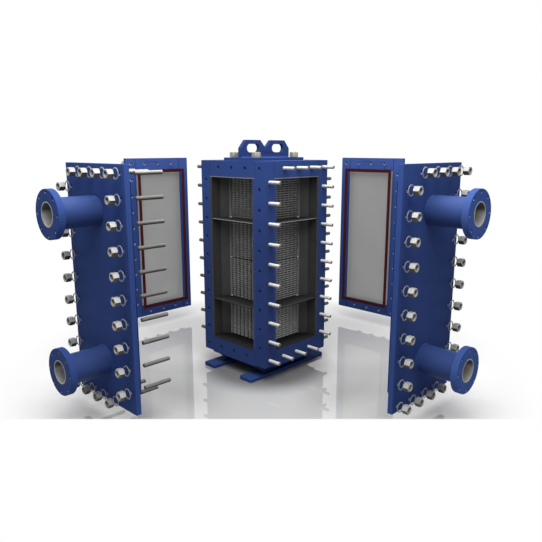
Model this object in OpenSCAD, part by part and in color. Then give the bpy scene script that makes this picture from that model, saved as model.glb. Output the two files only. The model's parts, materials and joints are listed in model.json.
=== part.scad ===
// Welded plate heat exchanger, drawn with its four bolted covers taken off.
// A welded pack of corrugated plates stands in a frame of four corner columns
// and two heads. Each side is closed by a thick cover on studs. The covers, their
// gaskets and the left side's studs are drawn off along the studs' own lines.
//
// Axes: +Z up, origin on the floor under the middle of the core. The front
// side faces -Y and the left side faces -X, and these two carry the nozzles.

/* [Core frame] */
// Width of the square core, face to face
core_w = 800; // [760:10:900]
// Height of the corner columns
core_h = 1760; // [1600:10:2000]
// Side of each square corner column
column_w = 116; // [108:2:124]
// Height of the top and bottom heads that close the frame
head_h = 136; // [120:2:160]
// How far the bottom head stands below the columns
head_drop = 12; // [4:1:24]
// Height of the columns' feet above the floor
core_lift = 130; // [110:5:180]

/* [Studs] */
// Diameter of the cover studs
stud_d = 30; // [24:1:33]
// Distance from a face's edges to its outermost studs
stud_edge = 60; // [55:1:64]
// Spacing of the studs round a face
stud_pitch = 170; // [150:5:190]
// Depth of a stud in the frame
stud_in = 100; // [60:5:105]
// Length of a stud that stands out of the frame
stud_out = 120; // [100:5:150]
// Distance from the left cover to the studs that are screwed out of that side
stud_draw = 74; // [10:2:120]

/* [Plate pack] */
// Half the width of the square plate pack
pack_half = 231; // [220:1:236]
// Rows of open plate channels in one pass
rows = 18; // [12:1:22]
// Height of a plate pair's folded edge, the rest of a row is its open channel
fold_h = 11; // [8:0.5:13]
// Depth of the open channels and of the grooves between the waves
channel_depth = 14; // [8:1:20]
// Number of corrugation waves across a plate's edge
waves = 8; // [6:1:10]
// Radius of a wave's crest as a share of the wave's width
crest_share = 0.36; // [0.3:0.02:0.44]
// Height of the seam between two passes
seam_h = 4; // [2:0.5:6]
// Side of the square strip that seals each corner of the pack
corner_strip = 20; // [16:1:24]
// Width of the groove between that strip and the first wave
corner_groove = 15; // [4:1:24]

/* [Linings] */
// Thickness of the sheet that lines a column's inner sides
liner_t = 6; // [4:0.5:8]
// Width of the lip where that sheet shows beside a window
lip_w = 24; // [16:1:28]
// Thickness of the fin that ties the pack's corner to the column
fin_t = 16; // [12:1:20]
// Thickness of the lining on the heads
head_lining_t = 8; // [5:0.5:10]
// Thickness of a pass baffle in the headers
baffle_t = 6; // [4:1:16]

/* [Covers] */
// Thickness of a cover
cover_t = 40; // [32:1:60]
// How far the covers' lower edges stand above the columns' feet
cover_raise = 12; // [4:1:24]
// Distance that the front and left covers are drawn off the core
draw_front = 1236; // [400:4:1500]
// Distance that the back and right covers are drawn off the core
draw_back = 1260; // [400:4:1500]
// Diameter of the stud holes in a cover
cover_hole_d = 31; // [25:0.5:34]
// Thickness of a cover's lining sheet
lining_t = 6; // [4:0.5:10]
// Depth of the seat cut in the cover for its lining
lining_seat = 3; // [1:0.5:3.5]
// Clearance of that lining all round in its window
lining_gap = 4; // [2:0.5:8]
// Width of the flat gasket's band
gasket_band = 34; // [24:1:40]
// Thickness of the gasket
gasket_t = 5; // [3:0.5:8]
// How far the gasket laps over the edge of the lining
gasket_lap = 12; // [4:1:16]
// Distance that a gasket is drawn off its cover
gasket_draw = 64; // [10:2:120]

/* [Nozzles] */
// Outer diameter of a nozzle pipe
pipe_d = 219; // [190:1:240]
// Diameter of the lined bore
bore_d = 160; // [120:1:165]
// Wall of the tube that lines the bore
tube_t = 6; // [3:0.5:8]
// Reach of a nozzle from its cover to the flange's face
nozzle_len = 350; // [250:5:450]
// Diameter of a flange
flange_d = 340; // [330:5:360]
// Thickness of a flange
flange_t = 48; // [30:1:60]
// Diameter of the flange's bolt circle
bolt_circle_d = 295; // [280:5:300]
// Diameter of the flange's bolt holes
flange_hole_d = 22; // [18:1:26]
// Number of bolt holes in a flange
flange_holes = 8; // [4:4:12]

/* [Lifting gear] */
// Length of the plate on the top head
top_plate_l = 640; // [620:10:700]
// Width of the plate on the top head
top_plate_w = 368; // [320:4:420]
// Thickness of the plate on the top head
top_plate_t = 24; // [16:1:36]
// Length of the lifting lug
lug_l = 604; // [560:4:616]
// Height of the lifting lug above that plate
lug_h = 150; // [130:2:180]
// Thickness of the lifting lug
lug_t = 34; // [24:1:40]
// Height of the lug's shoulders and of the middle of its eyes
shoulder_h = 80; // [60:2:100]
// Length of the flat crown over a lifting eye
crown_l = 176; // [120:4:220]
// Distance between the middles of the two lifting eyes
eye_spacing = 308; // [280:4:330]
// Length of a lifting eye
eye_l = 146; // [110:2:170]
// Height of a lifting eye
eye_h = 72; // [50:2:84]
// Spacing of the plate's screws along its length
screw_x = 472; // [440:4:520]
// Spacing of the plate's screws across it
screw_y = 280; // [220:4:284]
// Thread of the plate's screws
screw_d = 42; // [30:1:48]
// Depth of those screws in the top head
screw_grip = 60; // [40:5:90]
// Hexagon of the plate's screws, across flats
screw_flats = 70; // [60:1:75]
// Height of a screw's head
screw_head_h = 46; // [30:1:56]

/* [Feet] */
// Length of a foot bar
foot_l = 976; // [880:4:1060]
// Width of a foot bar
foot_w = 152; // [120:4:180]
// Thickness of a foot bar
foot_t = 30; // [20:1:40]
// Cut at each corner of a foot bar
foot_corner = 12; // [4:1:30]
// Distance between the middles of the two foot bars
foot_spacing = 484; // [440:4:512]
// Thickness of the web that carries the core on a foot bar
web_t = 40; // [24:1:50]
// Length of that web under the core
web_top_l = 770; // [700:5:790]
// Length of that web on the foot bar
web_low_l = 555; // [480:5:640]

/* [Hidden] */

// Turn of each side about the core's axis, the front side being drawn at zero
FRONT = 0;
RIGHT = 90;
BACK = 180;
LEFT = 270;
// Turn that points from the core's axis to the column at a side's left end
TO_COLUMN = 225;

// The pack is welded up from this many passes, and each is a node of its own
passes = 4;

// Clearance round studs and tubes in their holes, and beside lining sheets
fit = 0.3;
sheet_gap = 0.5;
// How far a cutting tool runs past the face it cuts
past = 1;
// A row of studs ends where less than this share of its pitch is left before
// the first stud of the next row
row_end = 0.2;
// Sides of a circle
$fn = 64;

face = core_w / 2;
window_half = face - column_w;
window_low = head_h;
window_high = core_h - head_h;
pack_low = window_low + head_lining_t;
pack_high = window_high - head_lining_t;
pass_h = (pack_high - pack_low) / passes;
row_h = (pass_h - seam_h) / rows;
waves_half = pack_half - corner_strip - corner_groove;
wave_w = 2 * waves_half / waves;
wave_r = wave_w * crest_share;

lining_half = window_half - lining_gap;
lining_h = window_high - window_low - 2 * lining_gap;

// Where the left side's loose studs start, in front of that face
loose_stud_start = draw_front - stud_draw - stud_in - stud_out;

pipe_bore_r = bore_d / 2 + tube_t + fit;
nozzle_low_z = pack_low + pass_h / 2;
nozzle_high_z = pack_high - pass_h / 2;

top_z = core_lift + core_h;
plate_top_z = top_z + top_plate_t;

blue = [0.16, 0.27, 0.62];
steel = [0.62, 0.62, 0.62];
pack_grey = [0.52, 0.52, 0.52];
bright = [0.82, 0.83, 0.82];
gasket_red = [0.42, 0.12, 0.12];
zinc = [0.66, 0.66, 0.58];

// Studs of one side as [x, z] seen from outside. Half of them start in the
// lower left corner, and the other half is the same figure turned by 180
// degrees, so studs in neighbouring sides pass above and below each other.
column_studs = floor((core_h - 2 * stud_edge) / stud_pitch - row_end) + 1;
row_studs = floor((core_w - 2 * stud_edge) / stud_pitch - row_end) + 1;
low_column = [for (k = [0 : column_studs - 1]) [stud_edge - face, stud_edge + k * stud_pitch]];
low_row = [for (k = [1 : row_studs - 1]) [stud_edge - face + k * stud_pitch, stud_edge]];
function turned(points) = [for (p = points) [-p.x, core_h - p.y]];
high_column = turned(low_column);
high_row = turned(low_row);
face_studs = concat(low_column, low_row, high_column, high_row);

// ---- placing ----

// Puts what is drawn for the front side on the side that has this turn
module on_side(turn) {
    translate([0, 0, core_lift]) rotate([0, 0, turn]) children();
}

// Puts a cylinder that is drawn along +Z on a side's face, pointing out of it,
// at a height along the core and a distance in front of the face
module out_of_face(point, distance) {
    translate([point.x, -face - distance, point.y]) rotate([90, 0, 0]) children();
}

// ---- frame ----

module stud_bores(points) {
    for (p = points)
        out_of_face(p, -stud_in) cylinder(h = stud_in + past, d = stud_d + 2 * fit);
}

// Column at the left end of the side with this turn
module column(turn) {
    color(blue) difference() {
        on_side(turn) translate([-face, -face, 0]) cube([column_w, column_w, core_h]);
        on_side(turn) stud_bores(low_column);
        on_side(turn + LEFT) stud_bores(high_column);
    }
}

// Outline that fills the core between the four columns
module cross_outline(half_w, half_gap) {
    square([2 * half_w, 2 * half_gap], center = true);
    square([2 * half_gap, 2 * half_w], center = true);
}

module top_head() {
    color(blue) difference() {
        translate([0, 0, core_lift + window_high]) linear_extrude(head_h)
            cross_outline(face, window_half);
        for (turn = [FRONT, RIGHT, BACK, LEFT]) on_side(turn) stud_bores(high_row);
        plate_screw_places() cylinder(h = screw_grip + fit, d = screw_d + 2 * fit);
    }
}

module bottom_head() {
    color(blue) difference() {
        translate([0, 0, core_lift - head_drop]) linear_extrude(head_h + head_drop)
            cross_outline(face, window_half);
        for (turn = [FRONT, RIGHT, BACK, LEFT]) on_side(turn) stud_bores(low_row);
    }
}

// ---- plate pack ----

// Section through a pass at a fold: straight on two sides, waved on the other two
module fold_outline() {
    square([2 * (pack_half - channel_depth), 2 * (pack_half - corner_strip)], center = true);
    for (side = [-1, 1], k = [0 : waves - 1])
        translate([side * (pack_half - wave_r), (k + 0.5) * wave_w - waves_half])
            circle(r = wave_r);
    square([2 * (pack_half - corner_strip), 2 * pack_half], center = true);
}

// Side view of a pass: a comb of folded plate edges with open channels between
module channel_comb() {
    square([2 * (pack_half - channel_depth), pass_h], center = true);
    for (k = [0 : rows - 1])
        translate([0, seam_h / 2 + (k + 0.5) * row_h - pass_h / 2])
            square([2 * pack_half, fold_h], center = true);
}

module plate_pack_pass(number) {
    color(pack_grey) translate([0, 0, core_lift + pack_low + (number - 0.5) * pass_h]) {
        intersection() {
            linear_extrude(pass_h, center = true) fold_outline();
            rotate([90, 0, 90]) linear_extrude(2 * pack_half, center = true) channel_comb();
        }
        for (x = [-1, 1], y = [-1, 1])
            translate([x * (pack_half - corner_strip / 2), y * (pack_half - corner_strip / 2), 0])
                cube([corner_strip, corner_strip, pass_h], center = true);
    }
}

// ---- linings and baffles inside the frame ----

// Sheet round a column's inner corner, with a lip beside each window and a fin
// that holds the pack's corner
module corner_liner(turn) {
    reach = window_half * sqrt(2);
    color(steel) on_side(turn) translate([0, 0, pack_low]) linear_extrude(pack_high - pack_low)
        difference() {
            union() {
                translate([-face, -window_half]) square([face - window_half + liner_t, liner_t]);
                translate([-window_half, -face]) square([liner_t, face - window_half + liner_t]);
                translate([-face, -window_half]) square([liner_t, lip_w]);
                translate([-window_half, -face]) square([lip_w, liner_t]);
                rotate(TO_COLUMN) translate([pack_half * sqrt(2) - fin_t / 2, -fin_t / 2])
                    square([reach - pack_half * sqrt(2) + fin_t / 2, fin_t]);
            }
            square(2 * pack_half, center = true);
            translate([-face - past, -face - past]) square(column_w + past);
        }
}

module head_lining(low) {
    color(steel) translate([0, 0, core_lift + low]) linear_extrude(head_lining_t)
        cross_outline(face, window_half);
}

// Plates across a header, from the pack to the cover, level with the upper ends
// of these passes
module baffles(turn, passes_below) {
    fin_side = fin_t / 2 * sqrt(2) + sheet_gap;
    wall = window_half - liner_t - sheet_gap;
    edge = face - liner_t - sheet_gap;
    for (pass = passes_below)
        color(steel) on_side(turn) translate([0, 0, pack_low + pass * pass_h - baffle_t / 2])
            linear_extrude(baffle_t) polygon([
                [-wall, -edge], [wall, -edge], [wall, -wall - fin_side],
                [pack_half - fin_side, -pack_half], [fin_side - pack_half, -pack_half],
                [-wall, -wall - fin_side]
            ]);
}

// ---- covers ----

function draw_of(turn) = turn == FRONT || turn == LEFT ? draw_front : draw_back;
function has_nozzles(turn) = turn == FRONT || turn == LEFT;

// Bores for the nozzle tubes, in a cover or lining of a side that has nozzles
module nozzle_bores(turn, distance, depth) {
    if (has_nozzles(turn))
        for (z = [nozzle_low_z, nozzle_high_z])
            out_of_face([0, z], distance) cylinder(h = depth, r = pipe_bore_r);
}

module cover(turn) {
    draw = draw_of(turn);
    color(blue) on_side(turn) difference() {
        translate([-face, -face - draw - cover_t, cover_raise])
            cube([core_w, cover_t, core_h - cover_raise]);
        translate([-lining_half - sheet_gap, -face - draw - lining_seat, cover_raise - past])
            cube([2 * (lining_half + sheet_gap), lining_seat + past, core_h - cover_raise + 2 * past]);
        for (p = face_studs)
            out_of_face(p, draw - past) cylinder(h = cover_t + 2 * past, d = cover_hole_d);
        nozzle_bores(turn, draw - past, cover_t + 2 * past);
    }
}

module cover_lining(turn) {
    draw = draw_of(turn);
    color(bright) on_side(turn) difference() {
        translate([-lining_half, -face - draw - lining_seat, (core_h - lining_h) / 2])
            cube([2 * lining_half, lining_t, lining_h]);
        nozzle_bores(turn, draw - lining_t, 2 * lining_t);
    }
}

module gasket(turn) {
    inner_half = lining_half - gasket_lap;
    inner_h = lining_h - 2 * gasket_lap;
    distance = draw_of(turn) - gasket_draw - gasket_t;
    color(gasket_red) on_side(turn) out_of_face([0, core_h / 2], distance)
        linear_extrude(gasket_t) difference() {
            square([2 * (inner_half + gasket_band), inner_h + 2 * gasket_band], center = true);
            square([2 * inner_half, inner_h], center = true);
        }
}

// Studs of one side, with their inner ends at a distance in front of the face
module studs(turn, distance) {
    color(bright) on_side(turn)
        for (p = face_studs) out_of_face(p, distance) cylinder(h = stud_in + stud_out, d = stud_d);
}

// ---- nozzles ----

// Puts a ring that is drawn along +Z on both nozzles of a side, starting at a
// distance in front of the core's face
module on_nozzles(turn, distance) {
    on_side(turn) for (z = [nozzle_low_z, nozzle_high_z]) out_of_face([0, z], distance) children();
}

module ring(inner_r, outer_r, length) {
    rotate_extrude() translate([inner_r, 0]) square([outer_r - inner_r, length]);
}

module nozzle_pipes(turn) {
    color(blue) on_nozzles(turn, draw_of(turn) + cover_t)
        ring(pipe_bore_r, pipe_d / 2, nozzle_len - flange_t);
}

module nozzle_flanges(turn) {
    color(blue) on_nozzles(turn, draw_of(turn) + cover_t + nozzle_len - flange_t) difference() {
        ring(pipe_bore_r, flange_d / 2, flange_t);
        for (k = [0 : flange_holes - 1])
            rotate([0, 0, k * 360 / flange_holes]) translate([bolt_circle_d / 2, 0, -past])
                cylinder(h = flange_t + 2 * past, d = flange_hole_d);
    }
}

// Tubes that line the nozzles, from the cover's lining to the flange's face
module nozzle_tubes(turn) {
    proud = lining_t - lining_seat;
    color(bright) on_nozzles(turn, draw_of(turn) - proud)
        ring(bore_d / 2, bore_d / 2 + tube_t, proud + cover_t + nozzle_len);
}

// ---- lifting gear ----

module plate_screw_places() {
    for (x = [-1, 1], y = [-1, 1])
        translate([x * screw_x / 2, y * screw_y / 2, top_z - screw_grip]) children();
}

module lifting_plate() {
    color(blue) difference() {
        translate([-top_plate_l / 2, -top_plate_w / 2, top_z])
            cube([top_plate_l, top_plate_w, top_plate_t]);
        plate_screw_places()
            cylinder(h = screw_grip + top_plate_t + past, d = screw_d + 2 * fit);
    }
}

module lifting_plate_screws() {
    shank = screw_grip + top_plate_t;
    color(zinc) plate_screw_places() {
        cylinder(h = shank, d = screw_d);
        translate([0, 0, shank])
            cylinder(h = screw_head_h, d = screw_flats / cos(30), $fn = 6);
    }
}

// Right half of the lug's upper edge, from the middle valley over the crown to
// the shoulder
lug_edge = [
    [eye_spacing / 2 - crown_l / 2, lug_h],
    [eye_spacing / 2 + crown_l / 2, lug_h],
    [lug_l / 2, shoulder_h],
    [lug_l / 2, 0]
];

module lug_outline() {
    left_edge = [for (k = [len(lug_edge) - 1 : -1 : 0]) [-lug_edge[k].x, lug_edge[k].y]];
    polygon(concat(left_edge, [[0, shoulder_h]], lug_edge));
}

module lug_eyes() {
    run = (eye_l - eye_h) / 2;
    for (side = [-1, 1]) translate([side * eye_spacing / 2, shoulder_h]) {
        square([2 * run, eye_h], center = true);
        for (x = [-run, run]) translate([x, 0]) circle(d = eye_h);
    }
}

module lifting_lug() {
    color(blue) translate([0, 0, plate_top_z]) rotate([90, 0, 0])
        linear_extrude(lug_t, center = true) difference() {
            lug_outline();
            lug_eyes();
        }
}

// ---- feet ----

// Flat bar with cut corners
module foot_bar() {
    half_l = foot_l / 2;
    half_w = foot_w / 2;
    end_l = half_l - foot_corner;
    end_w = half_w - foot_corner;
    linear_extrude(foot_t) polygon([
        [-end_l, -half_w], [end_l, -half_w], [half_l, -end_w], [half_l, end_w],
        [end_l, half_w], [-end_l, half_w], [-half_l, end_w], [-half_l, -end_w]
    ]);
}

// Upright plate that carries the core and narrows towards the bar
module foot_web() {
    rotate([90, 0, 0]) linear_extrude(web_t, center = true) polygon([
        [-web_low_l / 2, foot_t], [web_low_l / 2, foot_t],
        [web_top_l / 2, core_lift - head_drop], [-web_top_l / 2, core_lift - head_drop]
    ]);
}

module foot(side) {
    color(blue) translate([0, side * foot_spacing / 2, 0]) {
        foot_bar();
        foot_web();
    }
}

// ---- nodes ----

column(FRONT);  // column_front_left
column(RIGHT);  // column_front_right
column(BACK);  // column_back_right
column(LEFT);  // column_back_left
top_head();
bottom_head();
plate_pack_pass(1);  // plate_pack_pass_1
plate_pack_pass(2);  // plate_pack_pass_2
plate_pack_pass(3);  // plate_pack_pass_3
plate_pack_pass(4);  // plate_pack_pass_4
corner_liner(FRONT);  // corner_liner_front_left
corner_liner(RIGHT);  // corner_liner_front_right
corner_liner(BACK);  // corner_liner_back_right
corner_liner(LEFT);  // corner_liner_back_left
head_lining(window_high - head_lining_t);  // top_head_lining
head_lining(window_low);  // bottom_head_lining
baffles(FRONT, [1, 3]);  // baffles_front
baffles(LEFT, [1, 3]);  // baffles_left
baffles(BACK, [2]);  // baffle_back
baffles(RIGHT, [2]);  // baffle_right
cover(FRONT);  // cover_front
cover(RIGHT);  // cover_right
cover(BACK);  // cover_back
cover(LEFT);  // cover_left
cover_lining(FRONT);  // cover_lining_front
cover_lining(RIGHT);  // cover_lining_right
cover_lining(BACK);  // cover_lining_back
cover_lining(LEFT);  // cover_lining_left
gasket(FRONT);  // gasket_front
gasket(RIGHT);  // gasket_right
gasket(BACK);  // gasket_back
gasket(LEFT);  // gasket_left
studs(FRONT, -stud_in);  // studs_front
studs(RIGHT, -stud_in);  // studs_right
studs(BACK, -stud_in);  // studs_back
studs(LEFT, loose_stud_start);  // studs_left
nozzle_pipes(FRONT);  // nozzle_pipes_front
nozzle_pipes(LEFT);  // nozzle_pipes_left
nozzle_flanges(FRONT);  // nozzle_flanges_front
nozzle_flanges(LEFT);  // nozzle_flanges_left
nozzle_tubes(FRONT);  // nozzle_tubes_front
nozzle_tubes(LEFT);  // nozzle_tubes_left
lifting_plate();
lifting_lug();
lifting_plate_screws();
foot(-1);  // foot_front
foot(1);  // foot_back
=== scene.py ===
"""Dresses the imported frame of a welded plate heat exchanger, shown with its four
bolted covers drawn off: painted frame and covers, folded plate edges, threaded
studs, nuts, washers, screws and weld beads, with a studio floor and soft light.
"""
import json
import math

import bmesh
import bpy
from mathutils import Matrix, Vector, noise

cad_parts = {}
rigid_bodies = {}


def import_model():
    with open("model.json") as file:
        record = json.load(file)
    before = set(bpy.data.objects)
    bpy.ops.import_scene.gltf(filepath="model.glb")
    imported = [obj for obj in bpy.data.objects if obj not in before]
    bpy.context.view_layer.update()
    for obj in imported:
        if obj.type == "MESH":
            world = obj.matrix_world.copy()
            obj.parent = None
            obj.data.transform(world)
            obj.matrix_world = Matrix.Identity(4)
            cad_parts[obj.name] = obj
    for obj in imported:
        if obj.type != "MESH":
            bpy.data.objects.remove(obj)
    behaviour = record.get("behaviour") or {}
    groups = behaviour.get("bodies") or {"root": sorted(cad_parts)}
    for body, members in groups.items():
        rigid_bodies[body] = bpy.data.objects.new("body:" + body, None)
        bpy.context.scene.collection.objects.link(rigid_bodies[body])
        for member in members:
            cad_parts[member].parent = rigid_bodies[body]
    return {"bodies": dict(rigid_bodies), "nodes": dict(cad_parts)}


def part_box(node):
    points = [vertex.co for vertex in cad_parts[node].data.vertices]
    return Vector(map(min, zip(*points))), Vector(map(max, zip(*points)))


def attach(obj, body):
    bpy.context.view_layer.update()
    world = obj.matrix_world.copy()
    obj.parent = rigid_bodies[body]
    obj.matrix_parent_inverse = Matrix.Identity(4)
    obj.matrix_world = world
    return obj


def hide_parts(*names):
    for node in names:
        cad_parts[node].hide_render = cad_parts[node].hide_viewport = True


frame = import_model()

MM = 0.001
FULL_TURN = 2 * math.pi

nodes = frame["nodes"]
for thing in list(bpy.data.objects):
    if thing not in nodes.values() and thing not in frame["bodies"].values():
        bpy.data.objects.remove(thing)
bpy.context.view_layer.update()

# Each side is made as the front one, which faces -Y, and turned about the core
SIDES = {"front": 0, "right": 90, "back": 180, "left": 270}
NOZZLE_SIDES = ("front", "left")
# How far the columns' outer faces are from the core's axis
CORE_FACE = -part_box("column_front_left")[0].x


# ---- measuring ----

def turn_to(side):
    return Matrix.Rotation(math.radians(SIDES[side]), 4, "Z")


def reach_of(node, side):
    """How far from the core's axis a CAD node starts and ends on a side."""
    back_turn = turn_to(side).inverted()
    distances = [-(back_turn @ corner).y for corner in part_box(node)]
    return min(distances), max(distances)


def heights_of(node):
    """Lowest and highest point of a CAD node."""
    low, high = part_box(node)
    return low.z, high.z


def seat(side, across, height, out):
    """Place on a side whose own Z axis points out of it and whose Y axis is up."""
    axes = Matrix(((1, 0, 0, across), (0, 0, -1, -out), (0, 1, 0, height), (0, 0, 0, 1)))
    return turn_to(side) @ axes


def solids_of(node):
    """Middles of the separate solids in a CAD node, lowest first."""
    mesh = bmesh.new()
    mesh.from_mesh(nodes[node].data)
    bmesh.ops.remove_doubles(mesh, verts=mesh.verts, dist=0.01 * MM)
    waiting = set(mesh.verts)
    middles = []
    while waiting:
        group = [waiting.pop()]
        for vert in group:
            for edge in vert.link_edges:
                neighbour = edge.other_vert(vert)
                if neighbour in waiting:
                    waiting.discard(neighbour)
                    group.append(neighbour)
        spans = [(min(v.co[k] for v in group), max(v.co[k] for v in group)) for k in range(3)]
        middles.append(Vector([(low + high) / 2 for low, high in spans]))
    mesh.free()
    return sorted(middles, key=lambda m: (round(m.z, 4), round(m.x, 4), round(m.y, 4)))


def spots_of(kind, side):
    """Where the solids of a side's node are: across the side, and height."""
    back_turn = turn_to(side).inverted()
    turned = (back_turn @ middle for middle in solids_of(kind + side))
    return [(spot.x, spot.z) for spot in turned]


# ---- node building ----

MID_GREY = (0.5, 0.5, 0.5, 1.0)
WHITE = (1.0, 1.0, 1.0, 1.0)


def srgb(red, green, blue):
    """A colour written as 0 to 255 per channel, as the linear values of a socket."""
    levels = [c / 255 for c in (red, green, blue)]
    return tuple(c / 12.92 if c <= 0.04045 else ((c + 0.055) / 1.055) ** 2.4
                 for c in levels) + (1.0,)


def new_group(name, inputs, outputs):
    """A node group, the sockets that it is given, and those that it fills."""
    group = bpy.data.node_groups.new(name, "ShaderNodeTree")
    for label, kind, value in inputs:
        socket = group.interface.new_socket(label, in_out="INPUT",
                                            socket_type="NodeSocket" + kind)
        socket.default_value = value
    for label, kind in outputs:
        group.interface.new_socket(label, in_out="OUTPUT", socket_type="NodeSocket" + kind)
    given = group.nodes.new("NodeGroupInput")
    result = group.nodes.new("NodeGroupOutput")
    return group, given.outputs, result.inputs


def add_node(tree, kind, inputs=None, **settings):
    """A node with settings, each of whose inputs is a value or another node's socket."""
    node = tree.nodes.new(kind)
    for key, value in settings.items():
        setattr(node, key, value)
    for key, value in (inputs or {}).items():
        if isinstance(value, bpy.types.NodeSocket):
            tree.links.new(value, node.inputs[key])
        else:
            node.inputs[key].default_value = value
    return node


def maths(tree, operation, first, second=0.0):
    """Result of a sum on numbers or sockets."""
    node = add_node(tree, "ShaderNodeMath", {0: first, 1: second}, operation=operation)
    return node.outputs["Value"]


def ramp(tree, value, start, full, ease="LINEAR"):
    """0 at one value, rising to 1 at another, and level outside them."""
    node = add_node(tree, "ShaderNodeMapRange",
                    {"Value": value, "From Min": start, "From Max": full},
                    interpolation_type=ease)
    return node.outputs["Result"]


def blended(tree, share, first, second, way="MIX"):
    """The first colour, and the second one by a share."""
    node = add_node(tree, "ShaderNodeMix", {"Factor": share, "A": first, "B": second},
                    data_type="RGBA", blend_type=way)
    return node.outputs[2]


def place_parts(tree):
    """X, Y and Z of the place on the object."""
    place = add_node(tree, "ShaderNodeTexCoord")
    return add_node(tree, "ShaderNodeSeparateXYZ", {"Vector": place.outputs["Object"]}).outputs


def normal_parts(tree):
    """X, Y and Z of the way a face looks."""
    geometry = add_node(tree, "ShaderNodeNewGeometry")
    return add_node(tree, "ShaderNodeSeparateXYZ", {"Vector": geometry.outputs["Normal"]}).outputs


# ---- shared effects ----

def mottle_group():
    """Broad and fine clouds that shift a finish between two colours."""
    group, given, result = new_group(
        "mottle",
        [("Colour", "Color", MID_GREY), ("Shade", "Color", MID_GREY), ("Broad Scale", "Float", 3.0),
         ("Fine Scale", "Float", 60.0), ("Fine Share", "Float", 0.3)],
        [("Colour", "Color"), ("Mask", "Float")])
    place = add_node(group, "ShaderNodeTexCoord").outputs["Object"]
    broad = add_node(group, "ShaderNodeTexNoise",
                     {"Vector": place, "Scale": given["Broad Scale"], "Detail": 3.0,
                      "Roughness": 0.55})
    fine = add_node(group, "ShaderNodeTexNoise",
                    {"Vector": place, "Scale": given["Fine Scale"], "Detail": 4.0,
                     "Roughness": 0.6})
    clouds = add_node(group, "ShaderNodeMix",
                      {"Factor": given["Fine Share"], "A": broad.outputs["Fac"],
                       "B": fine.outputs["Fac"]})
    spread = ramp(group, clouds.outputs["Result"], 0.32, 0.68)
    group.links.new(blended(group, spread, given["Colour"], given["Shade"]), result["Colour"])
    group.links.new(spread, result["Mask"])
    return group


def grain_group():
    """Fine unevenness of a finish, stretched along the three axes, as a normal."""
    group, given, result = new_group(
        "grain",
        [("Stretch", "Vector", (1.0, 1.0, 1.0)), ("Scale", "Float", 200.0),
         ("Strength", "Float", 0.1), ("Depth", "Float", 0.001)],
        [("Normal", "Vector")])
    place = add_node(group, "ShaderNodeTexCoord").outputs["Object"]
    stretched = add_node(group, "ShaderNodeVectorMath", {0: place, 1: given["Stretch"]},
                         operation="MULTIPLY")
    cloud = add_node(group, "ShaderNodeTexNoise",
                     {"Vector": stretched.outputs["Vector"], "Scale": given["Scale"],
                      "Detail": 2.0, "Roughness": 0.6})
    bump = add_node(group, "ShaderNodeBump",
                    {"Strength": given["Strength"], "Distance": given["Depth"],
                     "Height": cloud.outputs["Fac"]})
    group.links.new(bump.outputs["Normal"], result["Normal"])
    return group


def worn_group():
    """Roughness that varies between two levels with the clouds of the finish."""
    group, given, result = new_group(
        "worn_roughness",
        [("Mask", "Float", 0.5), ("Smooth", "Float", 0.3), ("Rough", "Float", 0.5)],
        [("Roughness", "Float")])
    spread = add_node(group, "ShaderNodeMapRange",
                      {"Value": given["Mask"], "To Min": given["Smooth"],
                       "To Max": given["Rough"]})
    group.links.new(spread.outputs["Result"], result["Roughness"])
    return group


def facing_group():
    """0 on upright faces, rising to 1 on those that look up or down by a full share."""
    group, given, result = new_group("facing", [("Full", "Float", 0.4)], [("Share", "Float")])
    share = ramp(group, normal_parts(group)["Z"], 0.0, given["Full"])
    group.links.new(share, result["Share"])
    return group


mottle = mottle_group()
grain = grain_group()
worn_roughness = worn_group()
facing = facing_group()


# ---- finishes ----

def finish(name, colour, shade, smooth, rough, metal=0.0, specular=0.5, broad=3.0, fine=60.0,
           fine_share=0.3, stretch=(1, 1, 1), grain_scale=200.0, grain_strength=0.1,
           grain_depth=0.001):
    """A material whose colour, roughness and relief all vary over the surface."""
    material = bpy.data.materials.new(name)
    material.use_nodes = True
    tree = material.node_tree
    shader = next(n for n in tree.nodes if n.type == "BSDF_PRINCIPLED")
    clouds = add_node(tree, "ShaderNodeGroup",
                      {"Colour": srgb(*colour), "Shade": srgb(*shade), "Broad Scale": broad,
                       "Fine Scale": fine, "Fine Share": fine_share}, node_tree=mottle)
    relief = add_node(tree, "ShaderNodeGroup",
                      {"Stretch": stretch, "Scale": grain_scale, "Strength": grain_strength,
                       "Depth": grain_depth}, node_tree=grain)
    worn = add_node(tree, "ShaderNodeGroup",
                    {"Mask": clouds.outputs["Mask"], "Smooth": smooth, "Rough": rough},
                    node_tree=worn_roughness)
    tree.links.new(clouds.outputs["Colour"], shader.inputs["Base Color"])
    tree.links.new(worn.outputs["Roughness"], shader.inputs["Roughness"])
    tree.links.new(relief.outputs["Normal"], shader.inputs["Normal"])
    shader.inputs["Metallic"].default_value = metal
    shader.inputs["Specular IOR Level"].default_value = specular
    return material


# What finishes of one kind have in common
COVER_PAINT = dict(broad=2.0, fine=90.0, grain_scale=260.0, grain_strength=0.12,
                   grain_depth=0.0006, specular=0.01)
FRAME_PAINT = dict(broad=2.4, fine=110.0, grain_scale=240.0, grain_depth=0.0006)
HOLE_PAINT = dict(broad=6.0, fine=200.0, grain_scale=300.0, grain_strength=0.2,
                  grain_depth=0.0006, specular=0.05)
PLATE = dict(broad=9.0, fine=240.0, fine_share=0.5, stretch=(1, 1, 6), grain_scale=160.0,
             grain_strength=0.2)
LINING = dict(metal=0.1, broad=4.0, fine=120.0, stretch=(12, 12, 0.6), grain_scale=60.0)
LEVEL_LINING = dict(metal=0.1, broad=4.0, fine=120.0, stretch=(2, 2, 6), grain_scale=80.0,
                    grain_strength=0.12, specular=0.1)
TURNED = dict(metal=0.1, broad=14.0, fine=320.0, fine_share=0.5, grain_strength=0.15,
              grain_depth=0.0005)
NUT = dict(TURNED, grain_scale=420.0)
DULL_STUD = dict(TURNED, grain_scale=500.0, specular=0.15)
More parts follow.
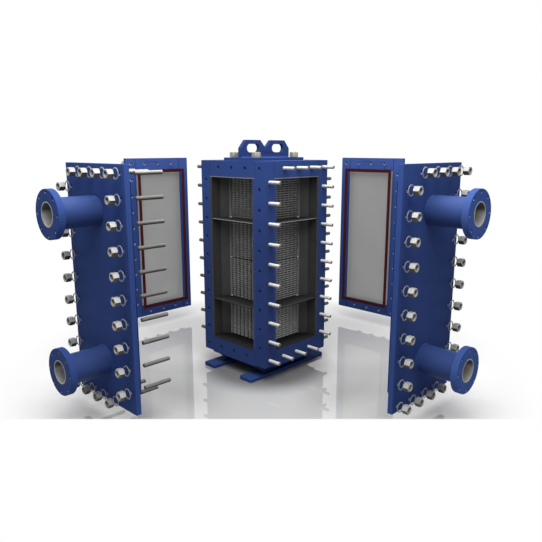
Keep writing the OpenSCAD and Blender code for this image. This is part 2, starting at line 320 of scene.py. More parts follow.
RUBBER = dict(broad=10.0, fine=500.0, fine_share=0.7, grain_scale=900.0,
              grain_strength=0.35, grain_depth=0.0006, specular=0.15)

# Painted steel
blue_paint = finish("blue_paint", (54, 76, 135), (50, 70, 127), 0.4, 0.52, **COVER_PAINT)
# Painted light: the back and right covers take a lighter copy of the cover paint
far_blue = finish("far_cover_blue", (57, 80, 142), (52, 74, 133), 0.4, 0.52, **COVER_PAINT)
# Painted light: the front flanges take a lighter copy of the cover paint
flange_blue = finish("flange_blue", (66, 95, 168), (60, 88, 157), 0.4, 0.52, **COVER_PAINT)
frame_blue = finish("frame_blue", (48, 66, 118), (43, 60, 109), 0.36, 0.5, **FRAME_PAINT,
                    grain_strength=0.14, specular=0.02)
foot_blue = finish("foot_blue", (48, 67, 118), (42, 60, 108), 0.4, 0.52, **FRAME_PAINT,
                   grain_strength=0.14, specular=0.01)
pipe_blue = finish("pipe_blue", (58, 79, 135), (53, 73, 126), 0.4, 0.5, **FRAME_PAINT,
                   grain_strength=0.12, specular=0.09)
weld_blue = finish("painted_weld", (54, 76, 141), (44, 64, 124), 0.34, 0.5, broad=6.0,
                   fine=180.0, grain_scale=180.0, grain_strength=0.3, specular=0.05)
# Painted light: the tapped holes' walls are a lighter blue than the frame
tapped_blue = finish("tapped_hole_blue", (60, 80, 140), (50, 70, 124), 0.5, 0.65, **HOLE_PAINT)
seam_blue = finish("seam_blue", (38, 54, 104), (32, 46, 92), 0.5, 0.65, **HOLE_PAINT)

# Plate pack
pack_steel = finish("pack_steel", (140, 140, 138), (115, 115, 114), 0.5, 0.65, **PLATE,
                    metal=0.2, specular=0.3)
strip_steel = finish("strip_steel", (138, 138, 136), (116, 116, 114), 0.45, 0.6, **PLATE,
                     metal=0.1, specular=0.15)
# Painted shade: a dark backing that stands for the shadow in the pack's channels
channel_painted_shade = finish("channel_painted_shade", (74, 74, 73), (60, 60, 59), 0.7, 0.85, broad=9.0,
                      fine=200.0, grain_scale=160.0, grain_strength=0.2, specular=0.1)

# Linings and baffles
inner_steel = finish("inner_lining_steel", (69, 69, 69), (59, 59, 59), 0.42, 0.55, **LINING,
                     specular=0.15)
painted_lip_steel = finish("painted_lip_steel", (69, 69, 69), (59, 59, 59), 0.42, 0.55,
                           **LINING, specular=0.1)
# Painted shade: the sill, the top lining and the baffles are dark steel inside the core
sill_steel = finish("sill_steel", (44, 44, 44), (36, 36, 36), 0.5, 0.65, **LEVEL_LINING)
top_lining_steel = finish("top_lining_steel", (42, 42, 42), (34, 34, 34), 0.5, 0.65,
                          **LEVEL_LINING)
baffle_steel = finish("baffle_steel", (50, 50, 50), (41, 41, 41), 0.45, 0.6, metal=0.1,
                      broad=5.0, fine=140.0, stretch=(2, 2, 6), grain_scale=90.0,
                      grain_strength=0.12, specular=0.15)
cover_steel = finish("cover_lining_steel", (190, 190, 189), (180, 180, 180), 0.38, 0.5,
                     metal=0.4, broad=2.5, fine=150.0, stretch=(14, 14, 0.5),
                     grain_scale=50.0, grain_strength=0.08, specular=0.3)
tube_steel = finish("tube_steel", (194, 194, 192), (176, 176, 174), 0.36, 0.5, metal=0.2,
                    broad=6.0, fine=200.0, grain_scale=240.0, grain_strength=0.12)

# Fasteners and drilled holes
stud_steel = finish("stud_steel", (190, 190, 187), (168, 167, 162), 0.3, 0.46, metal=0.1,
                    broad=12.0, fine=300.0, fine_share=0.5, grain_scale=500.0,
                    grain_strength=0.12, grain_depth=0.0005, specular=0.2)
# Painted shade: darker copies of the stud steel, for the studs on the left, back and right
loose_stud_steel = finish("loose_stud_steel", (104, 103, 99), (86, 85, 81), 0.4, 0.55,
                          **DULL_STUD)
far_stud_steel = finish("far_stud_steel", (108, 107, 102), (88, 87, 83), 0.4, 0.55, **DULL_STUD)
stud_end_steel = finish("stud_end_steel", (120, 119, 114), (92, 91, 86), 0.45, 0.6, metal=0.1,
                        broad=30.0, fine=400.0, fine_share=0.6, grain_scale=600.0,
                        grain_strength=0.2, grain_depth=0.0005, specular=0.15)
nut_steel = finish("nut_steel", (178, 178, 174), (154, 153, 148), 0.32, 0.48, **NUT,
                   specular=0.2)
# A darker copy of the nut steel, as painted shade on the nuts of the low rows; on the left studs'
# top row it is painted light
shaded_nut_steel = finish("shaded_nut_steel", (140, 138, 134), (116, 114, 110), 0.36, 0.52,
                          **NUT, specular=0.15)
washer_steel = finish("washer_steel", (150, 152, 154), (126, 128, 130), 0.34, 0.5, **NUT,
                      specular=0.15)
screw_zinc = finish("screw_zinc", (158, 157, 142), (128, 127, 112), 0.34, 0.52, metal=0.4,
                    broad=16.0, fine=260.0, fine_share=0.5, grain_scale=300.0,
                    grain_strength=0.2, grain_depth=0.0006, specular=0.3)
# Painted light: the holes' bare walls are near-white lavender, as light falling into them
lit_and_shaded_hole_steel = finish("lit_and_shaded_hole_steel", (176, 184, 232), (154, 162, 212), 0.4, 0.6, broad=20.0,
                       fine=400.0, grain_scale=600.0, grain_strength=0.2,
                       grain_depth=0.0004, specular=0.1)

# One red for each gasket, because paint sits on different edges of them
gasket_red, gasket_red_side, gasket_red_left, gasket_red_front = (
    finish(name, (72, 10, 18), (52, 6, 12), 0.6, 0.8, **RUBBER)
    for name in ("gasket_red", "gasket_red_side", "gasket_red_left", "gasket_red_front"))


# ---- second tones, most of them painted light and shade ----

# Heights on the object, and distances from its upright middle
FIRST_PASS_TOP = 0.56
SEAM_LOW, SEAM_HIGH = 1.002, 1.018
THIRD_PASS_LOW = 1.01
FOURTH_PASS_LOW = 1.38
BETWEEN_BAFFLES = 1.0
LIP_OUT = 0.3935
GASKET_BAND_OUT = 0.29


def second_tone(material, colour, shade, mask_of):
    """Gives part of a surface another colour, where a mask built in its tree is 1."""
    tree = material.node_tree
    shader = next(n for n in tree.nodes if n.type == "BSDF_PRINCIPLED")
    first = shader.inputs["Base Color"].links[0].from_socket
    clouds = add_node(tree, "ShaderNodeGroup", {"Colour": srgb(*colour), "Shade": srgb(*shade)},
                      node_tree=mottle)
    both = blended(tree, mask_of(tree), first, clouds.outputs["Colour"])
    tree.links.new(both, shader.inputs["Base Color"])


def above(height):
    """1 above a height on the object."""
    return lambda tree: maths(tree, "GREATER_THAN", place_parts(tree)["Z"], height)


def below(height):
    """1 below a height on the object."""
    return lambda tree: maths(tree, "LESS_THAN", place_parts(tree)["Z"], height)


def rising(low, high):
    """0 below one height on the object, rising to 1 at another."""
    return lambda tree: ramp(tree, place_parts(tree)["Z"], low, high)


def rim_of(axis):
    """1 on the rim of a thin plate that faces along an axis."""
    return lambda tree: maths(tree, "LESS_THAN",
                              maths(tree, "ABSOLUTE", normal_parts(tree)[axis]), 0.5)


def outside(axis, distance):
    """1 further than a distance to either side of the object's middle."""
    return lambda tree: maths(tree, "GREATER_THAN",
                              maths(tree, "ABSOLUTE", place_parts(tree)[axis]), distance)


def looking(full):
    """Rises from 0 on upright faces to 1 on those that look up, or down if full is negative."""
    return lambda tree: add_node(tree, "ShaderNodeGroup", {"Full": full},
                                 node_tree=facing).outputs["Share"]


def overlap(first, second):
    return lambda tree: maths(tree, "MULTIPLY", first(tree), second(tree))


def from_middle(tree):
    """How far a place is from the object's upright middle, straight out on its side."""
    return maths(tree, "MAXIMUM", *(maths(tree, "ABSOLUTE", place_parts(tree)[axis])
                                    for axis in "XY"))


def shade_near_pack(tree):
    """1 close to the plate pack's faces, fading out towards the frame: where the sill and baffles
    get painted shade.
    """
    return ramp(tree, from_middle(tree), 0.36, 0.27)


def on_lips(tree):
    """1 on the lips of the corner liners, which lie in the core's faces."""
    return maths(tree, "GREATER_THAN", from_middle(tree), LIP_OUT)


def on_near_lips(tree):
    """1 on the lips of the front left corner's liner."""
    parts = place_parts(tree)
    return maths(tree, "LESS_THAN", maths(tree, "MINIMUM", parts["X"], parts["Y"]), -LIP_OUT)


# Masks for painted highlights on faces that look up, and painted shade on faces that look down
lit_upward_faces = looking(0.4)
shaded_downward_faces = looking(-0.4)
upright = rim_of("Z")
lit_upper_half = rising(1.1, 1.7)

# Later tones of a material lie over the earlier ones
for toned in (
        (painted_lip_steel, (49, 68, 122), (44, 62, 113), on_near_lips),
        # Painted light: frame and cover paint lighter towards the top
        (frame_blue, (52, 73, 131), (46, 66, 121), lit_upper_half),
        (blue_paint, (57, 80, 142), (52, 74, 133), lit_upper_half),
        # Painted light: the far covers lighter again near their top
        (far_blue, (70, 94, 165), (64, 87, 154), rising(1.5, 1.83)),
        # Painted shade: the flange rims darker than their faces
        (flange_blue, (66, 89, 151), (60, 83, 141), rim_of("Y")),
        # Painted shade on the pipes' undersides
        (pipe_blue, (50, 68, 117), (46, 63, 109), looking(-0.6)),
        (gasket_red, (28, 30, 58), (22, 22, 44), rim_of("Y")),
        (gasket_red_side, (28, 30, 58), (22, 22, 44), rim_of("X")),
        (gasket_red_left, (50, 71, 127), (44, 64, 117), outside("Y", GASKET_BAND_OUT)),
        (gasket_red_left, (46, 65, 117), (40, 58, 106), rim_of("X")),
        (gasket_red_front, (50, 71, 127), (44, 64, 117), outside("X", GASKET_BAND_OUT)),
        (gasket_red_front, (46, 65, 117), (40, 58, 106), rim_of("Y")),
        # Painted shade: the cover linings darker towards the top
        (cover_steel, (160, 160, 159), (151, 151, 151), rising(0.25, 1.75)),
        # Painted highlights where nuts and studs look up, painted shade where they look down
        (nut_steel, (182, 182, 180), (164, 163, 160), lit_upward_faces),
        (nut_steel, (92, 82, 76), (70, 62, 57), shaded_downward_faces),
        (shaded_nut_steel, (172, 170, 166), (150, 148, 143), lit_upward_faces),
        (shaded_nut_steel, (78, 72, 66), (60, 55, 50), shaded_downward_faces),
        (stud_steel, (208, 208, 206), (188, 187, 184), lit_upward_faces),
        (stud_steel, (164, 160, 155), (142, 138, 133), shaded_downward_faces),
        (loose_stud_steel, (130, 129, 126), (110, 109, 105), lit_upward_faces),
        (loose_stud_steel, (66, 65, 62), (54, 52, 49), shaded_downward_faces),
        # Painted shade on the upper walls of holes and bores, which look down
        (tapped_blue, (34, 48, 92), (28, 40, 80), shaded_downward_faces),
        (lit_and_shaded_hole_steel, (30, 36, 66), (22, 28, 54), shaded_downward_faces),
        (tube_steel, (96, 94, 84), (78, 76, 68), shaded_downward_faces),
        # Painted shade on the sill and baffles near the pack, and painted highlights on the upright
        # edges of the baffles, brighter on the upper ones, and of the top lining
        (sill_steel, (22, 22, 22), (18, 18, 18), shade_near_pack),
        (baffle_steel, (32, 32, 32), (27, 27, 27), shade_near_pack),
        (baffle_steel, (80, 80, 79), (70, 70, 69), upright),
        (baffle_steel, (156, 156, 154), (138, 138, 136),
         overlap(upright, above(BETWEEN_BAFFLES))),
        (top_lining_steel, (124, 126, 131), (108, 110, 115), upright),
        # Painted shade: the liners' lips in the core's faces darker
        (inner_steel, (54, 55, 54), (46, 47, 46), on_lips),
        # Painted light on the channels' backing higher up, and a painted shadow on it between two
        # passes
        (channel_painted_shade, (98, 98, 97), (84, 84, 83), rising(0.9, 1.3)),
        (channel_painted_shade, (14, 14, 14), (10, 10, 10),
         overlap(above(SEAM_LOW), below(SEAM_HIGH))),
        # Painted light and shade by height: the lowest pass lighter, and each upper pass darker at
        # its foot and lighter towards its top
        (strip_steel, (176, 176, 174), (150, 150, 148), below(FIRST_PASS_TOP)),
        (pack_steel, (182, 182, 180), (156, 156, 154), below(FIRST_PASS_TOP)),
        (pack_steel, (134, 134, 132), (110, 110, 109), above(THIRD_PASS_LOW)),
        (pack_steel, (168, 168, 166), (140, 140, 138), rising(1.05, 1.36)),
        (pack_steel, (106, 106, 104), (86, 86, 85), above(FOURTH_PASS_LOW)),
        (pack_steel, (176, 176, 174), (148, 148, 146), rising(1.4, 1.74))):
    second_tone(*toned)


# ---- building pieces ----

class Shape:
    """Points and faces of one piece, gathered ring by ring."""

    def __init__(self):
        self.points = []
        self.faces = []

    def loft(self, rings, closed_run=False, capped=True):
        """Skin between rings of points that all have the same count."""
        first = len(self.points)
        count = len(rings[0])
        for ring in rings:
            self.points.extend(ring)
        runs = len(rings) if closed_run else len(rings) - 1
        for r in range(runs):
            here = first + r * count
            there = first + ((r + 1) % len(rings)) * count
            for k in range(count):
                n = (k + 1) % count
                self.faces.append((here + k, here + n, there + n, there + k))
        if capped and not closed_run:
            self.faces.append(tuple(first + k for k in reversed(range(count))))
            last = first + (len(rings) - 1) * count
            self.faces.append(tuple(last + k for k in range(count)))

    def lathe(self, place, section, steps, closed=False):
        """Turns a section of (along, radius) or (along, radius, flats) about Z.

        Where half the width across flats is given, the ring is cut to a hexagon.
        """
        rings = []
        for entry in section:
            along, radius = entry[:2]
            flats = entry[2] if len(entry) > 2 else None
            ring = []
            for k in range(steps):
                angle = FULL_TURN * k / steps
                reach = radius
                if flats:
                    off_flat = (angle + FULL_TURN / 12) % (FULL_TURN / 6) - FULL_TURN / 12
                    reach = min(radius, flats / math.cos(off_flat))
                ring.append(place @ Vector((reach * math.cos(angle),
                                            reach * math.sin(angle), along)))
            rings.append(ring)
        self.loft(rings, closed_run=closed, capped=not closed)


def make_piece(name, shape, material, sharp_from, replaces=(), edges=None, others=()):
    """Turns a gathered shape into a piece of the object that rides on its body.

    Edges sharper than an angle in degrees stay crisp. Each pair in others is a further
    material and a test of a face's middle and normal.
    """
    mesh = bpy.data.meshes.new(name)
    mesh.from_pydata([tuple(p) for p in shape.points], [], shape.faces)
    tidy = bmesh.new()
    tidy.from_mesh(mesh)
    bmesh.ops.recalc_face_normals(tidy, faces=tidy.faces)
    tidy.to_mesh(mesh)
    tidy.free()
    mesh.shade_smooth()
    mesh.set_sharp_from_angle(angle=math.radians(sharp_from))
    mesh.materials.append(material)
    for number, (other, belongs) in enumerate(others):
        mesh.materials.append(other)
        for face in mesh.polygons:
            if belongs(face.center, face.normal):
                face.material_index = number + 1
    piece = bpy.data.objects.new(name, mesh)
    bpy.context.scene.collection.objects.link(piece)
    if edges:
        ease_edges(piece, edges)
    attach(piece, "root")
    if replaces:
        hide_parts(*replaces)


def ease_edges(thing, width, from_cad=False):
    """Rounds the sharp edges of a piece, as deburring and paint do.

    The corners of a CAD mesh are joined first, because its faces don't share them.
    """
    if from_cad:
        weld = thing.modifiers.new("joined_corners", "WELD")
        weld.merge_threshold = 0.02 * MM
    bevel = thing.modifiers.new("eased_edges", "BEVEL")
    bevel.width = width
    bevel.segments = 2
    bevel.limit_method = "ANGLE"
    bevel.angle_limit = math.radians(40)
    bevel.miter_outer = "MITER_ARC"
    flat_faces = thing.modifiers.new("flat_faces_kept_flat", "WEIGHTED_NORMAL")
    flat_faces.keep_sharp = True


# ---- fasteners ----

STUD_R = 15.4 * MM
COVER_HOLE_R = 15.5 * MM
FLANGE_HOLE_R = 11.0 * MM
FLANGE_BOLTS = 8
BOLT_CIRCLE_R = 147.5 * MM
THREAD_PITCH = 3.5 * MM
THREAD_DEPTH = 0.9 * MM
STUD_TIP = 2.5 * MM
# Faces that look along a stud by more than this share are its ends
END_ON = 0.9
# How many flats each kind of round piece is made with
STUD_STEPS, NUT_STEPS, WASHER_STEPS, HOLE_STEPS, SCREW_STEPS = 14, 24, 28, 24, 36


def stud_section(start, end, thread_from):
    """Section of a stud: pointed ends, a plain shank and rings of thread."""
    section = [(start, STUD_R - STUD_TIP), (start + STUD_TIP, STUD_R)]
    along = max(thread_from, start + STUD_TIP + THREAD_PITCH)
    while along < end - STUD_TIP - THREAD_PITCH / 2:
        section.append((along, STUD_R))
        section.append((along + THREAD_PITCH / 2, STUD_R - THREAD_DEPTH))
        along += THREAD_PITCH
    section += [(end - STUD_TIP, STUD_R), (end, STUD_R - STUD_TIP)]
    return section


def threaded_studs(side):
    """A side's studs, threaded where they stand out of the frame."""
    near, far = reach_of("studs_" + side, side)
    section = stud_section(near, far, max(near, CORE_FACE))
    spots = spots_of("studs_", side)
    shape = Shape()
    for across, height in spots:
        shape.lathe(seat(side, across, height, 0), section, STUD_STEPS)
    line = turn_to(side).to_3x3() @ Vector((0, 1, 0))
    top_row = max(height for across, height in spots) - 20 * MM
    # Painted shade: the studs on the left, back and right take darker copies of the stud steel
    metal = {"front": stud_steel, "left": loose_stud_steel}.get(side, far_stud_steel)
    others = [(stud_end_steel, lambda middle, normal: abs(normal.dot(line)) > END_ON)]
    # Painted light: the top row of the left studs takes the lighter shaded nut steel
    if side == "left":
        others.insert(0, (shaded_nut_steel, lambda middle, normal: middle.z > top_row))
    make_piece("threaded_studs_" + side, shape, metal, 50,
               replaces=("studs_" + side,), others=others)


# Nuts: half the width across the flats, bore, and where they hang off their cover
NUT_FLATS = 30.0 * MM
NUT_BORE = 17 * MM
NUT_START, NUT_END = 56 * MM, 101 * MM
# Washers: radii, and where they hang
WASHER_OUT, WASHER_IN = 40 * MM, 31 * MM
WASHER_START, WASHER_END = 25 * MM, 31 * MM


def corners_of(flats):
    """Radius of a hexagon's corners, from half the width across its flats."""
    return flats / math.cos(FULL_TURN / 12)


def nut_section():
    """Closed section of a nut: rounded corners at both ends and a countersunk bore."""
    corner = corners_of(NUT_FLATS)
    face = NUT_FLATS * 0.95
    sink = 5 * MM
    start, end = NUT_START, NUT_END
    return [(start + sink, NUT_BORE), (start, NUT_BORE + sink), (start, face, NUT_FLATS),
            (start + 1 * MM, NUT_FLATS, NUT_FLATS), (start + 4 * MM, corner, NUT_FLATS),
            (end - 4 * MM, corner, NUT_FLATS), (end - 1 * MM, NUT_FLATS, NUT_FLATS),
            (end, face, NUT_FLATS), (end, NUT_BORE + sink), (end - sink, NUT_BORE)]


def washer_section():
    """Closed section of a washer with all four edges eased."""
    ease = 2 * MM
    start, end = WASHER_START, WASHER_END
    return [(start, WASHER_IN + ease), (start, WASHER_OUT - ease),
            (start + ease, WASHER_OUT), (end - ease, WASHER_OUT),
            (end, WASHER_OUT - ease), (end, WASHER_IN + ease),
            (end - ease, WASHER_IN), (start + ease, WASHER_IN)]


def cover_fasteners(side):
    """Nuts and washers drawn off the cover on the studs' lines."""
    outer = reach_of("cover_" + side, side)[1]
    spots = spots_of("studs_", side)
    nuts = Shape()
    washers = Shape()
    flat_up = Matrix.Rotation(FULL_TURN / 12, 4, "Z")
    for across, height in spots:
        place = seat(side, across, height, outer) @ flat_up
        nuts.lathe(place, nut_section(), NUT_STEPS, closed=True)
        washers.lathe(place, washer_section(), WASHER_STEPS, closed=True)
    low = min(height for across, height in spots) + 40 * MM
    wide = max(across for across, height in spots) - 20 * MM
    back_turn = turn_to(side).inverted()

    # Painted shade: the nuts in the low row, except at its ends, take the darker shaded nut steel
    def in_shaded_low_row(middle, normal):
        return middle.z < low and abs((back_turn @ middle).x) < wide

    make_piece("cover_nuts_" + side, nuts, nut_steel, 28,
               others=[(shaded_nut_steel, in_shaded_low_row)])
    make_piece("cover_washers_" + side, washers, washer_steel, 40)


# How far the walls of the holes stop short of the faces
WALL_INSET = 2 * MM
TAPPED_DEPTH = 14 * MM


def sleeve(shape, place, start, end, radius):
    """The machined wall of a drilled hole, just inside the hole, which carries painted light on its
    lower side and painted shade on its upper side.
    """
    inner, outer = radius - 0.6 * MM, radius - 0.1 * MM
    shape.lathe(place, [(start, inner), (start, outer), (end, outer), (end, inner)],
                HOLE_STEPS, closed=True)


def cover_hole_walls(side):
    inner, outer = reach_of("cover_" + side, side)
    shape = Shape()
    for across, height in spots_of("studs_", side):
        sleeve(shape, seat(side, across, height, 0), inner + WALL_INSET, outer - WALL_INSET,
               COVER_HOLE_R)
    make_piece("cover_hole_walls_" + side, shape, lit_and_shaded_hole_steel, 50)


def flange_hole_walls(side):
    inner, outer = reach_of("nozzle_flanges_" + side, side)
    shape = Shape()
    for across, height in spots_of("nozzle_flanges_", side):
        for k in range(FLANGE_BOLTS):
            angle = FULL_TURN * k / FLANGE_BOLTS
            place = seat(side, across + BOLT_CIRCLE_R * math.cos(angle),
                         height + BOLT_CIRCLE_R * math.sin(angle), 0)
            sleeve(shape, place, inner + WALL_INSET, outer - WALL_INSET, FLANGE_HOLE_R)
    make_piece("flange_hole_walls_" + side, shape, lit_and_shaded_hole_steel, 50)


def tapped_holes():
    """Painted walls and drill points of the open stud holes in the core's left face."""
    deep = CORE_FACE - TAPPED_DEPTH
    walls = Shape()
    ends = Shape()
    for across, height in spots_of("studs_", "left"):
        place = seat("left", across, height, 0)
        sleeve(walls, place, deep, CORE_FACE - 1.5 * MM, STUD_R)
        ends.lathe(place, [(deep, STUD_R - 0.2 * MM), (deep + 3 * MM, STUD_R - 0.2 * MM),
                           (deep + 1.5 * MM, 6 * MM)], HOLE_STEPS)
    make_piece("tapped_hole_walls_left", walls, tapped_blue, 50)
    make_piece("tapped_hole_ends_left", ends, seam_blue, 30)


def seam_line(shape, side, across, low, high, out):
    """A thin painted seam on a side, from one height to another."""
    half = 2.5 * MM
    deep = 0.5 * MM
    rings = []
    for height in (low, high):
        place = seat(side, across, height, out)
        rings.append([place @ Vector((x, 0, z)) for x, z in
                      ((-half, -deep), (half, -deep), (half * 0.5, deep), (-half * 0.5, deep))])
    shape.loft(rings)


def joint_seams():
    """Painted seams where heads meet columns, and along the covers' inner borders."""
    edge = -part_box("column_front_left")[1].x
    lining_low, lining_high = heights_of("cover_lining_front")
    heads = [heights_of(node) for node in ("bottom_head", "top_head")]
    frame_seams = Shape()
    cover_seams = Shape()
    for side in SIDES:
        inner = reach_of("cover_" + side, side)[0]
        low, high = heights_of("cover_" + side)
        borders = ((low, lining_low), (lining_high, high))
        for across in (-edge, edge):
            for start, end in heads:
                seam_line(frame_seams, side, across, start + 2 * MM, end - 2 * MM, CORE_FACE)
            for start, end in borders:
                seam_line(cover_seams, side, across, start + 3 * MM, end - 3 * MM, inner)
    make_piece("frame_joint_seams", frame_seams, seam_blue, 30)
    make_piece("cover_border_seams", cover_seams, seam_blue, 30)


# Lifting plate's screws: half the width across the flats, and the shank
SCREW_FLATS = 35 * MM
SCREW_R = 21 * MM


def plate_screws():
    """Hexagon head screws that hold the lifting plate on the top head."""
    low, high = heights_of("lifting_plate_screws")
    plate_top = heights_of("lifting_plate")[1]
    corner = corners_of(SCREW_FLATS)
    washer_face = SCREW_FLATS * 0.94
    shape = Shape()
    for spot in solids_of("lifting_plate_screws"):
        shape.lathe(Matrix.Translation((spot.x, spot.y, 0)), [
            (low, SCREW_R - 2 * MM), (low + 3 * MM, SCREW_R), (plate_top + 0.5 * MM, SCREW_R),
            (plate_top + 0.5 * MM, washer_face), (plate_top + 3 * MM, washer_face),
            (plate_top + 3 * MM, corner, SCREW_FLATS), (high - 5 * MM, corner, SCREW_FLATS),
            (high - 1.5 * MM, SCREW_FLATS, SCREW_FLATS), (high, SCREW_FLATS * 0.92),
            (high, SCREW_FLATS * 0.6), (high - 1.2 * MM, SCREW_FLATS * 0.55)], SCREW_STEPS)
    make_piece("lifting_plate_hex_screws", shape, screw_zinc, 28,
               replaces=("lifting_plate_screws",))


# ---- weld beads ----

PIPE_R = 109.5 * MM
# Ripples round a pipe's bead, rings to each, and their length in a straight bead
RING_RIPPLES = 90
RIPPLE_STEPS = 3
RIPPLE_PITCH = 6 * MM
# Leg of each kind of bead
LUG_LEG, FOOT_LEG, COVER_LEG, FLANGE_LEG = 9 * MM, 8 * MM, 9 * MM, 8 * MM


def ring_bead(shape, place, leg, start, way):
    """A fillet weld round a pipe: a rippled ring between the pipe and a flat face."""
    steps = RING_RIPPLES * RIPPLE_STEPS
    rings = []
    for k in range(steps):
        angle = FULL_TURN * k / steps
        ripple = 0.07 * math.cos(FULL_TURN * k / RIPPLE_STEPS)
        legs = leg * (1 + ripple + 0.05 * noise.noise(Vector((k * 0.37, PIPE_R, 0))))
        section = [(-0.3 * MM, -1 * MM), (legs, -1 * MM), (legs * 0.72, legs * 0.34),
                   (legs * 0.34, legs * 0.72), (-0.3 * MM, legs)]
        rings.append([place @ Vector(((PIPE_R + out) * math.cos(angle),
                                      (PIPE_R + out) * math.sin(angle), start + way * along))
                      for out, along in section])
    shape.loft(rings, closed_run=True)


def straight_bead(shape, start, end, up, out, leg):
    """A fillet weld along a straight corner between two plates."""
    run = end - start
    count = int(run.length / RIPPLE_PITCH) * 2
    rings = []
    for k in range(count + 1):
        share = k / count
        swell = 1 + 0.09 * (k % 2) + 0.06 * noise.noise(start + run * share * 40)
        # The bead starts and ends thin
        from_end = min(share, 1 - share) * run.length
        legs = leg * swell * min(1.0, 0.35 + from_end / (2 * leg))
        middle = start + run * share
        rings.append([middle - up * 0.5 * MM - out * 0.5 * MM,
                      middle + out * legs - up * 0.5 * MM,
                      middle + out * legs * 0.7 + up * legs * 0.36,
                      middle + out * legs * 0.36 + up * legs * 0.7,
                      middle + up * legs - out * 0.5 * MM])
    shape.loft(rings)


def nozzle_welds(side):
    """Beads round a side's pipes, at the cover and at the flange."""
    pipe_in, pipe_out = reach_of("nozzle_pipes_" + side, side)
    shape = Shape()
    for across, height in spots_of("nozzle_pipes_", side)[::2]:
        place = seat(side, across, height, 0)
        ring_bead(shape, place, COVER_LEG, pipe_in, 1)
        ring_bead(shape, place, FLANGE_LEG, pipe_out, -1)
    make_piece("nozzle_welds_" + side, shape, weld_blue, 60)


# Feet: thickness of bar and web, and the web's length at its top and at the bar
FOOT_BAR_T, FOOT_WEB_T = 30 * MM, 40 * MM
FOOT_WEB_TOP, FOOT_WEB_LOW = 764 * MM, 549 * MM


def frame_welds():
    """Beads round the lug's foot and along the webs of the two foot bars."""
    shape = Shape()
    low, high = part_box("lifting_lug")
    for way, y in ((-1, low.y), (1, high.y)):
        straight_bead(shape, Vector((low.x + 4 * MM, y, low.z)),
                      Vector((high.x - 4 * MM, y, low.z)),
                      Vector((0, 0, 1)), Vector((0, way, 0)), LUG_LEG)
    make_piece("lifting_lug_welds", shape, weld_blue, 60)
    shape = Shape()
    head_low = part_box("bottom_head")[0].z
    for node in ("foot_front", "foot_back"):
        low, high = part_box(node)
        middle = (low + high) / 2
        for way in (-1, 1):
            out = Vector((0, way, 0))
            y = middle.y + way * FOOT_WEB_T / 2
            for height, half, up in ((head_low, FOOT_WEB_TOP / 2, -1),
                                     (low.z + FOOT_BAR_T, FOOT_WEB_LOW / 2, 1)):
                straight_bead(shape, Vector((middle.x - half, y, height)),
                              Vector((middle.x + half, y, height)),
                              Vector((0, 0, up)), out, FOOT_LEG)
    make_piece("foot_welds", shape, weld_blue, 60)


# ---- plate pack ----

PACK_NODES = ["plate_pack_pass_%d" % k for k in (1, 2, 3, 4)]
ROWS = 18
# Height left open between two passes, half of it at each
SEAM = 4 * MM
# Width of the corner strips, and of the grooves beside them
STRIP, STRIP_GROOVE = 24 * MM, 5 * MM
WAVES = 8
STEPS_A_WAVE = 12
# Open channels: half a rib as a share of a wave, and depths of its flanks, the
# space between ribs and the backing painted dark as the channels' shade, and the height left
# between two rows
RIB_SHARE = 0.3
RIB_DEPTH, OPEN_DEPTH, BACKING_DEPTH = 13 * MM, 26 * MM, 18 * MM
RIB_GAP = 6.0 * MM
# Folded edges: height, how much it swells, and how far they wave in and up
FOLD, FOLD_SWELL = 12.8 * MM, 3 * MM
FOLD_IN, FOLD_UP = 1.2 * MM, 0.8 * MM
# Section of a row's edge: share of its half height, and how far it is set in
ROW_EDGE = ((-0.7, 28 * MM), (-1.0, 3.5 * MM), (-0.55, 0.9 * MM), (0.0, 0.0),
            (0.55, 0.9 * MM), (1.0, 3.5 * MM), (0.7, 28 * MM))


def rib_depth(along, waved_half):
    """How deep the folded edge lies at a place across a side with open channels."""
    if abs(along) > waved_half:
        return OPEN_DEPTH
    phase = (WAVES * (along + waved_half) / (2 * waved_half)) % 1.0
    off_crest = abs(phase - 0.5) / RIB_SHARE
    if off_crest >= 1:
        return OPEN_DEPTH
    return RIB_DEPTH * (1 - math.sqrt(1 - off_crest * off_crest))


def plate_row(shape, half, middle, row, number):
    """One pair of plates: ribbed at the open channels, folded shut on the other sides."""
    side_half = half - STRIP
    waved_half = side_half - STRIP_GROOVE
    outline = []
    for turn in range(4):
        steps = WAVES * STEPS_A_WAVE
        spin = Matrix.Rotation(FULL_TURN * turn / 4, 3, "Z")
        for k in range(steps):
            along = side_half * (2 * (k + 0.5) / steps - 1)
            if turn % 2 == 1:
                depth = rib_depth(along, waved_half)
                tall = row - RIB_GAP
                lift = 0.0
            else:
                count = WAVES * along / (2 * waved_half)
                crest = math.cos(FULL_TURN * count)
                depth = FOLD_IN * (1 + crest)
                tall = FOLD - FOLD_SWELL * crest
                lift = FOLD_UP * math.sin(FULL_TURN * (count + 0.25 + 0.5 * (number % 2)))
            outline.append((spin, along, depth, tall / 2, lift))
    rings = []
    for level, inset in ROW_EDGE:
        ring = []
        for spin, along, depth, tall, lift in outline:
            point = spin @ Vector((along, -half + depth + inset, 0))
            ring.append(point + Vector((0, 0, middle + lift + level * tall)))
        rings.append(ring)
    shape.loft(rings, capped=False)


def square_post(shape, half, low, high, middle=(0.0, 0.0)):
    corners = ((-half, -half), (half, -half), (half, half), (-half, half))
    shape.loft([[Vector((middle[0] + x, middle[1] + y, z)) for x, y in corners]
                for z in (low, high)])


